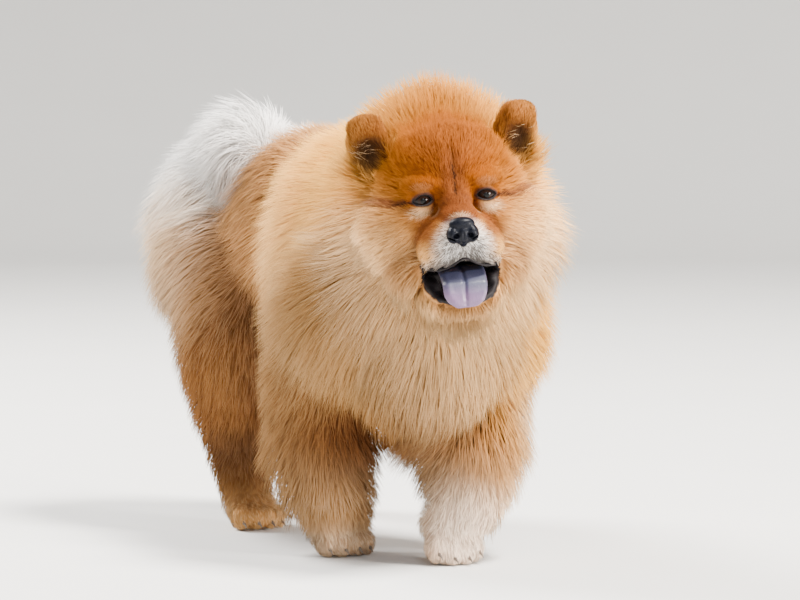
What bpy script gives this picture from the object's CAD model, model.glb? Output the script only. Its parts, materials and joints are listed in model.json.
# %% [markdown]
# # A rough-coated chow chow
# The dog stands as a still, life-size model. Its looks are made in layers, as on the real animal: a skin
# with the face carved into it, then eyes, nose, tongue and claws, and over it all a coat of about 150,000
# thin solid tufts that are combed along the body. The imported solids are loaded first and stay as
# the frame that everything is measured against.

# %% Load the frame
import json
import math

import bpy
import numpy as np
from mathutils import Matrix, Vector
from mathutils.bvhtree import BVHTree
from mathutils.kdtree import KDTree

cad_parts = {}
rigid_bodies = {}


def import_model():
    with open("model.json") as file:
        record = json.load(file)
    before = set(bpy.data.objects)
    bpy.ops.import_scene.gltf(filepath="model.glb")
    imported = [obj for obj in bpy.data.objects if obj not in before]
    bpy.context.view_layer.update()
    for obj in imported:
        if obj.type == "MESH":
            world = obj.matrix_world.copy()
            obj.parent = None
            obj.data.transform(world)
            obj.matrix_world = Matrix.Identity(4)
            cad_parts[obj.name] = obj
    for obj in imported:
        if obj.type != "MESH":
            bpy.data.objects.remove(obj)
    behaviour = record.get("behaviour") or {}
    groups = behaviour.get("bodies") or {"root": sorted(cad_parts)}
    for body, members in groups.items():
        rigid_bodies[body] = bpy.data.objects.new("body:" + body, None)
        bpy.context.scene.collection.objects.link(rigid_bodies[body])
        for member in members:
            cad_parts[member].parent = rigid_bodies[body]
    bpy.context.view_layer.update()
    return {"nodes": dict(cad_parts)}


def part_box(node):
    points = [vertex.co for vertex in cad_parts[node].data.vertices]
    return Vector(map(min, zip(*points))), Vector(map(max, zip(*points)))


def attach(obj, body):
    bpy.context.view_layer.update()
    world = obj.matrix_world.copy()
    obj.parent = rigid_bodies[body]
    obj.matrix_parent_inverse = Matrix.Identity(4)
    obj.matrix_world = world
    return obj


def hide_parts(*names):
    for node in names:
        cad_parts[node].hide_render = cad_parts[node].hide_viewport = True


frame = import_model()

print("nodes:", len(frame["nodes"]))


# %% [markdown]
# ## Two sets of axes
# The head is turned, so its features are easier to place in its own axes: X to the dog's left, -Y out of
# the face, Z up, from the point between the eyes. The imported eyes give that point, and the body's axes
# follow from it. Everything below is placed in one of these two frames.

# %% Axes of the head and of the body
EYE = Vector((0.037, 0.005, 0))                  # the left eye's centre in the head's axes, in metres
EYE_RADIUS = 0.0125
EYES_ON_BODY = Vector((-0.050, -0.373, 0.450))   # the point between the eyes, in the body's axes
HEAD_TURN, HEAD_NOD, HEAD_TILT = (math.radians(a) for a in (-19, 3, -5.4))


def middle_of(node):
    low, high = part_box(node)
    return (Vector(low) + Vector(high)) / 2


def eye_at(side):
    """An eye's centre: side is 1 for the left eye and -1 for the right one."""
    return side * EYE.x, EYE.y, EYE.z


turn = (Matrix.Rotation(HEAD_TURN, 4, "Z") @ Matrix.Rotation(HEAD_NOD, 4, "X")
        @ Matrix.Rotation(HEAD_TILT, 4, "Y"))
between_eyes = (middle_of("left_eye") + middle_of("right_eye")) / 2 - turn @ Vector((0, EYE.y, 0))
HEAD = Matrix.Translation(between_eyes) @ turn
BODY = Matrix.Translation(between_eyes - EYES_ON_BODY)
print("head at", [round(v, 4) for v in between_eyes])


# %% [markdown]
# ## Working with clay
# Soft anatomy is quickest to model as overlapping squashed spheres that are joined, remeshed into one
# surface and smoothed. It is how a sculptor builds up a figure, and each mass can still be moved by name.
# The tables of shapes are written in millimetres, which are shorter to read, and are turned into metres.

# %% Units, and helpers for objects
OUTWARD = (bpy.ops.mesh.normals_make_consistent, {"inside": False})


def metres(table):
    """A number, a point or a whole table, from millimetres."""
    return type(table)(metres(v) for v in table) if isinstance(table, (list, tuple)) else table / 1000


def only(*objs):
    """Selects these objects alone, and makes the first one active."""
    bpy.ops.object.select_all(action="DESELECT")
    for obj in objs:
        obj.select_set(True)
    bpy.context.view_layer.objects.active = objs[0]


def join(*objs):
    """Joins the objects into the first one."""
    only(*objs)
    if len(objs) > 1:
        bpy.ops.object.join()
    return objs[0]


def linked(name, data):
    """A new object in the scene, for a mesh, a curve, a light or a camera."""
    obj = bpy.data.objects.new(name, data)
    bpy.context.scene.collection.objects.link(obj)
    return obj


def settle(obj, name):
    """Names the object and moves its place, turn and size into its mesh."""
    only(obj)
    obj.name = name
    bpy.ops.object.transform_apply(location=True, rotation=True, scale=True)
    return obj


def edit(*steps):
    """Takes each step, an operator and its settings, in edit mode with the whole mesh selected."""
    bpy.ops.object.mode_set(mode="EDIT")
    for operator, settings in steps:
        bpy.ops.mesh.select_all(action="SELECT")
        operator(**settings)
    bpy.ops.object.mode_set(mode="OBJECT")


def apply_all(obj):
    """Applies every modifier in turn."""
    only(obj)
    for modifier in list(obj.modifiers):
        bpy.ops.object.modifier_apply(modifier=modifier.name)
    return obj


# %% Masses of clay
def ball(axes, centre, radii, inset=0.0):
    """One mass of clay: its matrix and its radii, drawn in by the depth of the coat over it."""
    return axes @ Matrix.Translation(centre), [r - inset for r in radii]


def clay(axes, table, paired=True):
    """Masses from rows of centre, radii and inset. Paired, those off the middle stand on both sides."""
    masses = []
    for (x, y, z), *sizes in metres(table):
        for side in (1, -1) if paired and x else (1,):
            masses.append(ball(axes, (side * x, y, z), *sizes))
    return masses


def chain(axes, stops, inset=0.0, squash=(1, 1, 1)):
    """Masses along a limb, given as (x, y, z, radius)."""
    found = []
    for (*a, ra), (*b, rb) in zip(stops, stops[1:]):
        a, b = Vector(a), Vector(b)
        count = max(2, math.ceil((b - a).length / (0.3 * min(ra, rb))))
        for i in range(count + 1):
            t = i / count
            r = ra + (rb - ra) * t - inset
            found.append((axes @ Matrix.Translation(a.lerp(b, t)), [r * s for s in squash]))
    return found


def spheres(name, masses, segments=32, rings=20):
    """All masses as one joined mesh, in place and unscaled."""
    made = []
    for matrix, radii in masses:
        bpy.ops.mesh.primitive_uv_sphere_add(segments=segments, ring_count=rings, radius=1)
        made.append(bpy.context.object)
        made[-1].matrix_world = matrix @ Matrix.Diagonal((*radii, 1))
    return settle(join(*made), name)


# %% Joining, cutting and drawing rods
def fuse(lump, voxel, rounds):
    """One smooth closed surface over everything in the lump."""
    remesh = lump.modifiers.new("Remesh", "REMESH")
    remesh.mode = "VOXEL"
    remesh.voxel_size = voxel
    smooth = lump.modifiers.new("Smooth", "SMOOTH")
    smooth.factor = 0.5
    smooth.iterations = rounds
    return apply_all(lump)


def combine(obj, tool, operation):
    """A Boolean with the tool, which is then removed."""
    boolean = obj.modifiers.new("Combine", "BOOLEAN")
    boolean.operation = operation
    boolean.solver = "MANIFOLD"
    boolean.object = tool
    apply_all(obj)
    bpy.data.objects.remove(tool)
    return obj


def hollow(obj, *place, **detail):
    """Cuts one mass out of the object."""
    return combine(obj, spheres("hollow", [ball(*place)], **detail), "DIFFERENCE")


def rod(axes, points, radii, cyclic=False):
    """A soft rod through the points, as a closed mesh, such as a lid's rim or a lip."""
    curve = bpy.data.curves.new("rod", "CURVE")
    curve.dimensions = "3D"
    curve.bevel_depth = 1.0
    curve.bevel_resolution = 3
    curve.use_fill_caps = not cyclic
    spline = curve.splines.new("POLY")
    spline.points.add(len(points) - 1)
    spline.use_cyclic_u = cyclic
    for knot, point, radius in zip(spline.points, points, radii):
        knot.co = (*(axes @ Vector(point)), 1)
        knot.radius = radius
    only(linked("rod", curve))
    bpy.ops.object.convert(target="MESH")
    edit((bpy.ops.mesh.remove_doubles, {"threshold": 1e-5}), OUTWARD)
    return bpy.context.object


def mirrored(points):
    """A line from the right end through the middle to the left end, given its left half."""
    return [(-x, y, z) for x, y, z in reversed(points[1:])] + list(points)


def rounded(points, count):
    """More points on a smooth curve through the given ones."""
    pts = [Vector(p) for p in points]
    out = []
    for i in range(len(pts) - 1):
        a, b, c, d = pts[max(i - 1, 0)], pts[i], pts[i + 1], pts[min(i + 2, len(pts) - 1)]
        for k in range(count):
            t = k / count
            out.append(0.5 * (2 * b + (c - a) * t + (2 * a - 5 * b + 4 * c - d) * t ** 2
                              + (3 * b - a - 3 * c + d) * t ** 3))
    return out + [pts[-1]]


# %% [markdown]
# Some shaping is easier on all points at once, as a table of numbers. Blender hands such tables over, and
# the points are moved along their normals, deeper where they are nearer to a line.

# %% Points as numbers
def read(rows, field, width=3, kind=float):
    """A field of all of a mesh's vertices, loops or triangles, as an array with a row for each."""
    found = np.empty(len(rows) * width, dtype=kind)
    rows.foreach_get(field, found)
    return found.reshape(-1, width)


def points_of(mesh):
    return read(mesh.vertices, "co")


def normals_of(mesh):
    return read(mesh.vertices, "normal")


def to_frame(points, axes):
    """World points in the frame's own axes."""
    back = np.array(axes.inverted())
    return points @ back[:3, :3].T + back[:3, 3]


def line_distance(points, line):
    """How far each point lies from a bent line."""
    line = np.array([tuple(p) for p in line])
    nearest = np.full(len(points), 1.0)
    for a, b in zip(line, line[1:]):
        t = np.clip((points - a) @ (b - a) / max((b - a) @ (b - a), 1e-12), 0, 1)
        nearest = np.minimum(nearest, np.linalg.norm(points - a - t[:, None] * (b - a), axis=1))
    return nearest


def sculpt(obj, axes, strokes):
    """Presses grooves (depth below 0) or raises folds along lines: (points, width, depth)."""
    mesh = obj.data
    place, out = points_of(mesh), normals_of(mesh)
    local = to_frame(place, axes)
    for line, width, depth in strokes:
        place += out * (depth * np.exp(-(line_distance(local, line) / width) ** 2))[:, None]
    mesh.vertices.foreach_set("co", place.ravel())
    mesh.update()


# %% [markdown]
# ## The head
# A chow's skull is broad and flat, its muzzle short and deep, and loose skin folds over the brows and out
# from the corners of the eyes. Each mass is drawn in by the length of the fur that will cover it: a few
# millimetres on the muzzle and lids, a centimetre or more on the skull.

# %% Masses of the head
LID_DEPTH = 0.0032
HEAD_CLAY = [       # centre, radii and inset in millimetres
    ((0, 72, 12), (86, 80, 72), 12),            # skull
    ((0, 34, 34), (70, 46, 47), 7),             # forehead
    ((0, 46, -4), (90, 54, 72), 10),            # temples
    ((0, -16, -22), (26, 34, 19), 2),           # bridge of the muzzle
    ((0, -6, -5), (22, 22, 15), 2),             # stop, where it meets the forehead
    ((0, 2, 8), (24, 16, 16), 2),
    ((0, -12, -44), (44, 44, 32), 2),           # muzzle
    ((0, 46, -90), (56, 38, 48), 10),           # throat
    ((31, 10, 19), (30, 20, 13.5), 2),          # brows
    ((58, 40, -34), (46, 48, 50), 9),           # cheeks
    ((44, 12, -28), (30, 22, 21), 3),           # pads under the eyes
    ((24, -20, -55), (25.5, 34, 27), 2),        # flews
    ((48, 28, -78), (29, 36, 34), 6),           # corners of the mouth
]
EAR_CLAY = [
    ((0, 4, -16), (25, 18, 24), 2),
    ((0, 2, -2), (27, 19, 26), 2),
    ((0, 0, 20), (28, 14, 28), 2),
    ((0, -7, 40), (21.5, 10.5, 19), 2),
]
LIP_LINE = metres([(0, -52, -66), (13, -51.5, -73), (27, -44, -79), (37, -28, -80), (43, -8, -77),
                   (42, 14, -78)])
JAW_LINE = metres([(0, -44, -119), (19, -38, -118), (33, -23, -111), (41, -2, -98), (40, 15, -86)])
LIP_RADIUS, JAW_LIP_RADIUS = 0.0028, 0.0034
MOUTH = metres(((0, -12, -93), (45, 52, 26)))         # an ellipsoid's centre and radii
GAPE = metres(((0, -18, -98), (50, 50, 20.5)))        # where no fur grows, between the lips
INNER = metres(((0, 10, -100), (46.5, 56, 28)))       # the block in which inward skin is the mouth's lining
EAR_CUP = metres(((0, -17, 2), (19.5, 17.5, 28)))
EAR_AT = Vector((0.084, 0.072, 0.046))


def ear_frame(side):
    """An ear's axes: X along its breadth, -Y out of the cup, Z to the tip."""
    return (HEAD @ Matrix.Translation((side * EAR_AT.x, EAR_AT.y, EAR_AT.z))
            @ Matrix.Rotation(side * math.radians(14), 4, "Z")
            @ Matrix.Rotation(side * math.radians(9), 4, "Y")
            @ Matrix.Rotation(math.radians(8), 4, "X"))


EARS = {side: ear_frame(side) for side in (-1, 1)}
HEAD_MASSES = clay(HEAD, HEAD_CLAY)
HEAD_MASSES += [ball(HEAD, eye_at(side), [EYE_RADIUS + LID_DEPTH] * 3) for side in (1, -1)]
for axes in EARS.values():
    HEAD_MASSES += clay(axes, EAR_CLAY)

# %% Lips, folds and the open mouth
upper_lip = rounded(mirrored(LIP_LINE), 3)
lower_lip = rounded(mirrored(JAW_LINE), 3)
lip = rod(HEAD, upper_lip, [LIP_RADIUS] * len(upper_lip))
head = fuse(join(spheres("skin", HEAD_MASSES), lip), voxel=0.0021, rounds=7)
hollow(head, HEAD, *MOUTH)
for axes in EARS.values():
    hollow(head, axes, *EAR_CUP)

FOLDS = [           # points of a line, width and depth in millimetres
    ([(0, -14, 0), (0, -12, 22), (0, -4, 46), (0, 10, 62)], 3.2, -5),
    ([(0, -60, -52), (0, -58, -66)], 1.6, -3),          # the split of the upper lip
]
for s in (1, -1):
    FOLDS += [
        ([(s * 50, -4, -3), (s * 62, 6, -8), (s * 74, 16, -3)], 3, -4),
        ([(s * 22, -10, 14), (s * 37, -9, 18), (s * 52, -2, 12)], 5, 2.2),
        ([(s * 19, -14, -6), (s * 30, -22, -22), (s * 42, -14, -42), (s * 47, -6, -60)], 4.5, -2.8),
        ([(s * 24, -18, -14), (s * 37, -15, -18), (s * 49, -6, -14)], 4, 1.6),
        ([(s * 10, -2, 32), (s * 12, 6, 52)], 7, 1.6),
    ]
sculpt(head, HEAD, metres(FOLDS))
fuse(head, voxel=0.0021, rounds=2)
print("head skin:", len(head.data.polygons), "faces")

# %% [markdown]
# ## Lids
# The eyes are small, almond-shaped and deeply set, with black rims. A lid is a fold of skin that lies on
# the eyeball like a shell, so each eye was given a ball of clay a little larger than itself. Now the
# eyeball's room is cut out of it, an almond opens the shell, and a thin soft rod rounds the lid's edge.

# %% Sockets and lids
LID_HALF_WIDTH, LID_HALF_HEIGHT = 0.0118, 0.0073
RIM_OUT = 0.0010            # how far the lid's edge stands off the eyeball
RIM_POINTS = 44
UPPER_RIM, LOWER_RIM = 0.0014, 0.0009       # how thick the edges of the lids are
SOCKET_GAP = 0.0003


def almond(side, out):
    """The opening's outline, that far off the eyeball, in the head's axes."""
    points = []
    for k in range(RIM_POINTS):
        angle = 2 * math.pi * k / RIM_POINTS
        rise = math.sin(angle)
        across = LID_HALF_WIDTH * math.cos(angle)
        high = LID_HALF_HEIGHT * rise * abs(rise) ** 0.45 * (1.0 if rise > 0 else 0.80) - 0.06 * across
        deep = math.sqrt(max((EYE_RADIUS + out) ** 2 - across ** 2 - high ** 2, 1e-6))
        points.append((side * (EYE.x + across), EYE.y - deep, EYE.z + high))
    return points


def prism(outline, front, back):
    """A closed block with the outline's shape, between two depths of the head."""
    count = len(outline)
    corners = [HEAD @ Vector((x, y, z)) for y in (front, back) for x, _, z in outline]
    sides = [(k, (k + 1) % count, count + (k + 1) % count, count + k) for k in range(count)]
    mesh = bpy.data.meshes.new("prism")
    mesh.from_pydata(corners, [], [tuple(range(count))[::-1], tuple(range(count, 2 * count)), *sides])
    only(linked("prism", mesh))
    edit(OUTWARD)
    return bpy.context.object


RIMS = {side: almond(side, RIM_OUT) for side in (-1, 1)}
RIM_RADII = [UPPER_RIM] * (RIM_POINTS // 2) + [LOWER_RIM] * (RIM_POINTS // 2)
for side, rim in RIMS.items():
    hollow(head, HEAD, eye_at(side), [EYE_RADIUS + SOCKET_GAP] * 3, segments=48, rings=32)
    combine(head, prism(rim, -0.060, EYE.y - 0.001), "DIFFERENCE")
    combine(head, rod(HEAD, rim, RIM_RADII, cyclic=True), "UNION")
print("with lids:", len(head.data.polygons), "faces")

# %% [markdown]
# ## Lower jaw
# The jaw hangs open under the tongue. Its lip is black, bare and wet, and stands up round the floor of
# the mouth; the chin below it is furred.

# %% Jaw
CHIN = [
    ((0, 2, -124), (36, 38, 12), 2), ((0, 22, -120), (40, 34, 18), 3),
    ((29, -10, -114.5), (12, 24, 8), 1), ((35, 10, -106), (12, 24, 16), 1),
]
lip = rod(HEAD, lower_lip, [JAW_LIP_RADIUS] * len(lower_lip))
jaw = fuse(join(spheres("jaw", clay(HEAD, CHIN)), lip), voxel=0.0020, rounds=5)
combine(head, jaw, "UNION")
print("with the jaw:", len(head.data.polygons), "faces")

# %% [markdown]
# ## Body, legs and tail
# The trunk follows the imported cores, drawn in by the depth of the coat, so the tufts have room to rise.

# %% Masses of the body
COAT_OVER_LEG, COAT_OVER_TAIL = 0.004, 0.020
TRUNK_CLAY = [      # axes, centre, radii and inset
    (BODY, (0, -165, 353), (124, 118, 172), 16), (BODY, (0, -60, 365), (138, 170, 160), 16),
    (BODY, (0, 100, 379), (130, 150, 146), 16), (BODY, (0, 195, 390), (120, 112, 135), 16),
    (BODY, (0, -120, 455), (92, 120, 80), 16), (HEAD, (-4, 118, -45), (122, 83, 125), 20),
    (HEAD, (0, 160, 14), (106, 92, 100), 18), (BODY, (-12, -222, 345), (116, 85, 110), 18),
    (BODY, (-4, -232, 265), (92, 62, 85), 16), (BODY, (-10, -200, 228), (70, 72, 48), 0),
]
# Down each leg: (x, y, z, radius), then the paw's place and how far it is pitched onto its toes, in degrees
LEG_TABLE = {
    "right_foreleg": ([(-84, -160, 300, 74), (-100, -105, 210, 66), (-96, -100, 115, 56),
                       (-82, -106, 55, 44)], (-76, -98, 0), 0),
    "left_foreleg": ([(76, -165, 290, 72), (70, -178, 210, 64), (50, -212, 125, 58),
                      (34, -232, 75, 45)], (14, -216, 18), 34),
    "right_hindleg": ([(-86, 200, 340, 86), (-96, 160, 245, 78), (-87, 198, 165, 54),
                       (-78, 222, 115, 41), (-74, 205, 55, 36)], (-73, 184, 0), 0),
    "left_hindleg": ([(86, 200, 340, 86), (98, 195, 245, 77), (86, 265, 170, 56),
                      (78, 306, 120, 43), (72, 304, 55, 36)], (71, 290, 0), 0),
}
LEGS = {name: (metres(stops), metres(place), math.radians(pitch))
        for name, (stops, place, pitch) in LEG_TABLE.items()}
TAIL_CHAINS = [
    [(0, 280, 430, 48), (-15, 292, 470, 55), (-45, 255, 492, 60), (-82, 200, 482, 52), (-98, 150, 462, 36)],
    [(-60, 270, 450, 62), (-105, 250, 430, 58), (-122, 275, 385, 46)],      # the plume
    [(-80, 290, 440, 50), (-118, 210, 430, 42)],                            # the fold against the flank
]
PAWS = {name: BODY @ Matrix.Translation(place) @ Matrix.Rotation(pitch, 4, "X")
        for name, (_, place, pitch) in LEGS.items()}
TOES = metres([(-26.5, -20), (-9.2, -29), (9.2, -29), (26.5, -20)])
PAW_CLAY = [((0, 8, 26), (34, 36, 26), 2.5), ((0, 12, 50), (30, 28, 30), 4)]
TOE_HEIGHT, TOE_RADII, TOE_INSET = 0.016, metres((11.8, 20, 16.5)), 0.0015

BODY_MASSES = [ball(axes, *metres(row)) for axes, *row in TRUNK_CLAY]
for name, (stops, _, _) in LEGS.items():
    BODY_MASSES += chain(BODY, stops, COAT_OVER_LEG) + clay(PAWS[name], PAW_CLAY)
    BODY_MASSES += [ball(PAWS[name], (x, y, TOE_HEIGHT), TOE_RADII, TOE_INSET) for x, y in TOES]
for stops in metres(TAIL_CHAINS):
    BODY_MASSES += chain(BODY, stops, COAT_OVER_TAIL)
print("masses of the body:", len(BODY_MASSES))

# %% One skin
CLEARANCE = 0.0012                 # between the skin and the floor
body = fuse(spheres("body", BODY_MASSES, 24, 16), voxel=0.0052, rounds=6)
bpy.ops.mesh.primitive_cube_add(size=2.4, location=(0, 0, -1.2 + CLEARANCE))
combine(body, bpy.context.object, "DIFFERENCE")
skin = combine(head, body, "UNION")
skin.name = "skin"
only(skin)
bpy.ops.object.shade_smooth()
# in a set order, the faces carry the same roots at each run
edit((bpy.ops.mesh.sort_elements, {"type": "CURSOR_DISTANCE", "elements": {"VERT", "FACE"}}))
skin.data.calc_loop_triangles()
print("skin:", len(skin.data.loop_triangles), "triangles")

# %% [markdown]
# The tufts will need to know where on the skin they are rooted, so the skin is unwrapped now. The unwrap
# follows the skin's own shape and has nothing to do with any view of it.

# %% Unwrap the skin
edit((bpy.ops.uv.smart_project, {"angle_limit": math.radians(66), "island_margin": 0.001}))
skin.data.uv_layers[0].name = "OFBake"
print("unwrapped:", skin.data.uv_layers.keys())

# %% [markdown]
# ## The comb
# A coat has a lie: hair leaves the skin in a direction that changes slowly over the body, and its length
# changes too. Each stroke of the comb says how the coat lies near one place: the way it runs, its length,
# how far it stands off the skin, the width of a tuft, how much the tufts gather into wisps, and how free
# a tuft is to leave the body where the body curves away under it. Everywhere else the values are blended
# from the strokes around, weighted by nearness.

# %% Strokes of the head
# place, way, then length, rise and tuft width (in millimetres, as the place), gathering and freedom
FACE = [
    ((0, -36, -10), (0, 0.7, 0.45), 6, 2, 0.7, 0, 0.1),
    ((10, -50, -24), (0.45, 0.8, 0.1), 6, 2, 0.7, 0, 0.1),
    ((10, -60, -58), (0.35, -0.05, -0.9), 7, 2.6, 0.7, 0.1, 0.2),
    ((26, -48, -50), (0.75, 0.4, -0.4), 8.5, 3.4, 0.7, 0.2, 0.2),
    ((30, -40, -74), (0.5, 0.35, -0.7), 10, 4, 0.7, 0.2, 0.3),
    ((44, -14, -56), (0.75, 0.6, -0.3), 15, 6, 0.8, 0.3, 0.3),
    ((0, -12, 4), (0, 0.3, 0.95), 9, 3.4, 0.7, 0, 0.2),
    ((0, -26, -4), (0, 0.6, 0.6), 8, 3, 0.7, 0, 0.2),
    ((20, -16, -6), (0.4, 0.7, 0.05), 6.5, 1.8, 0.7, 0, 0.2),
    ((36, -12, -16), (0.5, 0.4, -0.65), 7, 2.2, 0.7, 0, 0.2),
    ((37, -6, 13), (0.35, 0.35, 0.85), 9.5, 3.4, 0.7, 0.1, 0.3),
    ((54, 2, -2), (0.9, 0.45, 0), 12, 4.5, 0.8, 0.1, 0.3),
    ((53, 0, -24), (0.8, 0.45, -0.35), 17, 7, 0.9, 0.2, 0.3),
    ((0, -44, -124.5), (0, 0.05, -1), 30, 11, 0.9, 0.3, 0.8),
    ((24, -36, -122), (0.25, 0.1, -0.95), 32, 12, 0.9, 0.3, 0.8),
    ((38, -12, -110), (0.5, 0.2, -0.85), 34, 13, 0.9, 0.3, 0.8),
]
SKULL = [
    ((0, 0, 32), (0, 0.3, 0.95), 14, 6, 0.8, 0.1, 0.3),
    ((30, 4, 36), (0.45, 0.3, 0.82), 15, 7, 0.8, 0.1, 0.3),
    ((0, 18, 56), (0, 0.35, 0.94), 20, 12, 0.9, 0.1, 0.4),
    ((0, 30, 70), (0, 0.4, 0.92), 26, 19, 0.9, 0.1, 0.5),
    ((45, 35, 60), (0.5, 0.35, 0.8), 26, 19, 0.9, 0.1, 0.5),
    ((72, 35, 16), (0.85, 0.4, 0.3), 28, 20, 0.9, 0.2, 0.5),
    ((80, 40, -25), (0.85, 0.45, -0.2), 46, 34, 1, 0.3, 0.5),
    ((70, 25, -65), (0.75, 0.3, -0.55), 48, 32, 1, 0.3, 0.5),
    ((82, 48, 40), (0.7, 0.1, 0.6), 12, 4.5, 0.9, 0.2, 0.2),
    ((45, 10, -105), (0.45, 0.1, -0.88), 42, 20, 1, 0.3, 0.5),
    ((0, -14, -136), (0, 0.1, -0.98), 42, 12, 1, 0.3, 0.7),
    ((0, 50, 82), (0, 0.45, 0.89), 34, 29, 1, 0.1, 0.6),
    ((0, 72, 92), (0, 0.5, 0.86), 42, 40, 1, 0.15, 0.6),
    ((50, 70, 76), (0.45, 0.45, 0.77), 42, 38, 1, 0.15, 0.6),
]
RUFF_ON_HEAD = [
    ((0, 125, 110), (0, 0.62, 0.78), 56, 56, 1, 0.15, 0.6),
    ((80, 115, 80), (0.5, 0.65, 0.5), 56, 54, 1, 0.2, 0.5),
    ((118, 110, 20), (0.8, 0.55, -0.1), 60, 68, 1, 0.25, 0.5),
    ((125, 95, -40), (0.9, 0.25, -0.32), 68, 88, 1, 0.3, 0.6),
    ((110, 85, -105), (0.65, 0.15, -0.74), 70, 72, 1, 0.3, 0.6),
    ((50, 45, -140), (0.25, -0.05, -0.95), 72, 42, 1, 0.35, 0.5),
]

# %% Strokes of the body
RUFF_ON_BODY = [
    ((0, -300, 300), (0, -0.12, -1), 70, 44, 1.1, 0.22, 0.5),
    ((90, -270, 300), (0.3, 0.05, -0.95), 70, 50, 1.1, 0.22, 0.5),
    ((0, -290, 215), (0, 0.02, -1), 90, 52, 1.1, 0.3, 0.8),
    ((50, -250, 190), (0.05, 0.02, -1), 100, 40, 1.1, 0.3, 0.9),
    ((-15, -230, 185), (0, 0.3, -1), 60, 86, 1.1, 0.25, 0.6),
    ((30, -190, 180), (0, 0.3, -1), 55, 84, 1.1, 0.25, 0.6),
    ((0, -150, 185), (0, 0.3, -1), 50, 78, 1.1, 0.25, 0.6),
    ((130, -150, 400), (0.2, 0.55, -0.8), 62, 54, 1.1, 0.2, 0.5),
    ((0, -150, 530), (0, 1, 0.05), 58, 44, 1.1, 0.2, 0.5),
    ((90, -130, 500), (0.2, 0.85, -0.35), 60, 48, 1.1, 0.2, 0.5),
]
TRUNK = [
    ((0, 30, 510), (0, 1, -0.02), 52, 32, 1.3, 0.2, 0.4),
    ((0, 180, 500), (0, 1, -0.1), 50, 30, 1.3, 0.2, 0.4),
    ((135, -20, 370), (0, 0.75, -0.66), 54, 39, 1.3, 0.2, 0.4),
    ((130, 100, 370), (0, 0.75, -0.66), 52, 36, 1.3, 0.2, 0.4),
    ((115, -10, 270), (0, 0.35, -0.93), 54, 37, 1.3, 0.3, 0.6),
    ((0, -100, 215), (0, 0.25, -0.97), 60, 58, 1.3, 0.3, 0.7),
    ((0, 20, 225), (0, 0.45, -0.9), 50, 28, 1.3, 0.3, 0.8),
    ((0, 110, 240), (0, 0.6, -0.8), 42, 23, 1.3, 0.3, 0.7),
    ((110, 270, 380), (0.1, 0.45, -0.89), 52, 36, 1.3, 0.2, 0.4),
    ((0, 300, 350), (0, 0.35, -0.94), 50, 34, 1.3, 0.2, 0.4),
]
TAIL_COAT = [
    ((-30, 280, 545), (-0.6, 0.5, 0.05), 72, 56, 1.1, 0.15, 0.5),
    ((-110, 200, 530), (-0.9, 0.05, -0.4), 72, 58, 1.1, 0.15, 0.6),
    ((-130, 290, 470), (-0.6, 0.45, -0.65), 76, 60, 1.1, 0.2, 0.6),
    ((-150, 260, 400), (-0.4, 0.25, -0.9), 80, 56, 1.1, 0.2, 0.6),
    ((40, 290, 500), (0.55, 0.5, -0.5), 64, 48, 1.1, 0.15, 0.5),
    ((-110, 120, 490), (-0.6, -0.35, -0.6), 64, 44, 1.1, 0.15, 0.5),
]

# %% Strokes of the legs, paws and ears
HIND_COAT = [(38, 26, 1.1), (34, 22, 1), (26, 15, 1), (20, 10, 1)]
LEG_COAT = {     # length, rise and width at each stop below the first
    "right_foreleg": [(38, 25, 1), (34, 22, 1), (24, 13, 1)],
    "left_foreleg": [(38, 26, 1), (34, 24, 1), (24, 13, 1)],
    "right_hindleg": HIND_COAT,
    "left_hindleg": HIND_COAT,
}
LEG_GATHERING, LEG_FREEDOM = 0.1, 0.3
FEATHERS = [     # long hair behind and outside the forelegs
    ((-130, -80, 140), (-0.45, 0.35, -0.82), 56, 48, 1.1, 0.3, 0.6),
    ((-124, -76, 90), (-0.45, 0.35, -0.8), 52, 44, 1.1, 0.3, 0.6),
    ((108, -185, 150), (0.5, 0.3, -0.8), 56, 48, 1.1, 0.3, 0.6),
    ((94, -200, 100), (0.5, 0.3, -0.8), 50, 46, 1.1, 0.3, 0.6),
    ((80, -215, 72), (0.5, 0.3, -0.8), 40, 48, 1.1, 0.3, 0.6),
    ((72, -190, 60), (0.5, 0.3, -0.8), 38, 46, 1.1, 0.3, 0.6),
]
PAW_COAT = [
    ((0, -30, 34), (0, -0.8, -0.6), 13, 4, 0.9, 0.2, 0.3),
    ((35, -5, 25), (0.2, -0.5, -0.8), 13, 4, 0.9, 0.2, 0.3),
    ((0, 45, 30), (0, 0.2, -1), 13, 4, 0.9, 0.2, 0.3),
    ((0, -48, 15), (0, -0.6, -0.8), 13, 4, 0.9, 0.2, 0.3),
]
EAR_COAT = [
    ((0, 16, 10), (0, 0.1, 1), 18, 6, 0.9, 0.2, 0.3),
    ((24, 0, 20), (0.1, -0.1, 1), 13, 4, 0.8, 0.2, 0.3),
    ((0, -6, 58), (0, -0.2, 1), 8, 2.6, 0.8, 0.1, 0.3),
    ((0, -4, 30), (0, -0.3, 1), 8, 2.6, 0.8, 0.1, 0.3),
]

# %% Gather the strokes
COATS = [        # region, axes, strokes, whether they are paired, and how far they reach
    ("face", HEAD, FACE, True, 8), ("skull", HEAD, SKULL, True, 14),
    ("ruff", HEAD, RUFF_ON_HEAD, True, 30), ("ruff", BODY, RUFF_ON_BODY, True, 30),
    ("trunk", BODY, TRUNK, True, 40), ("tail", BODY, TAIL_COAT, False, 30),
    ("leg", BODY, FEATHERS, False, 20),
]
LEG_REACH, PAW_REACH, EAR_REACH = 20, 10, 8
REGIONS = ["face", "skull", "ruff", "trunk", "tail", "leg", "paw", "ear"]
REACH = 12                   # the column that holds how far a stroke reaches
RING = 6                     # strokes round a leg at each stop


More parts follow.
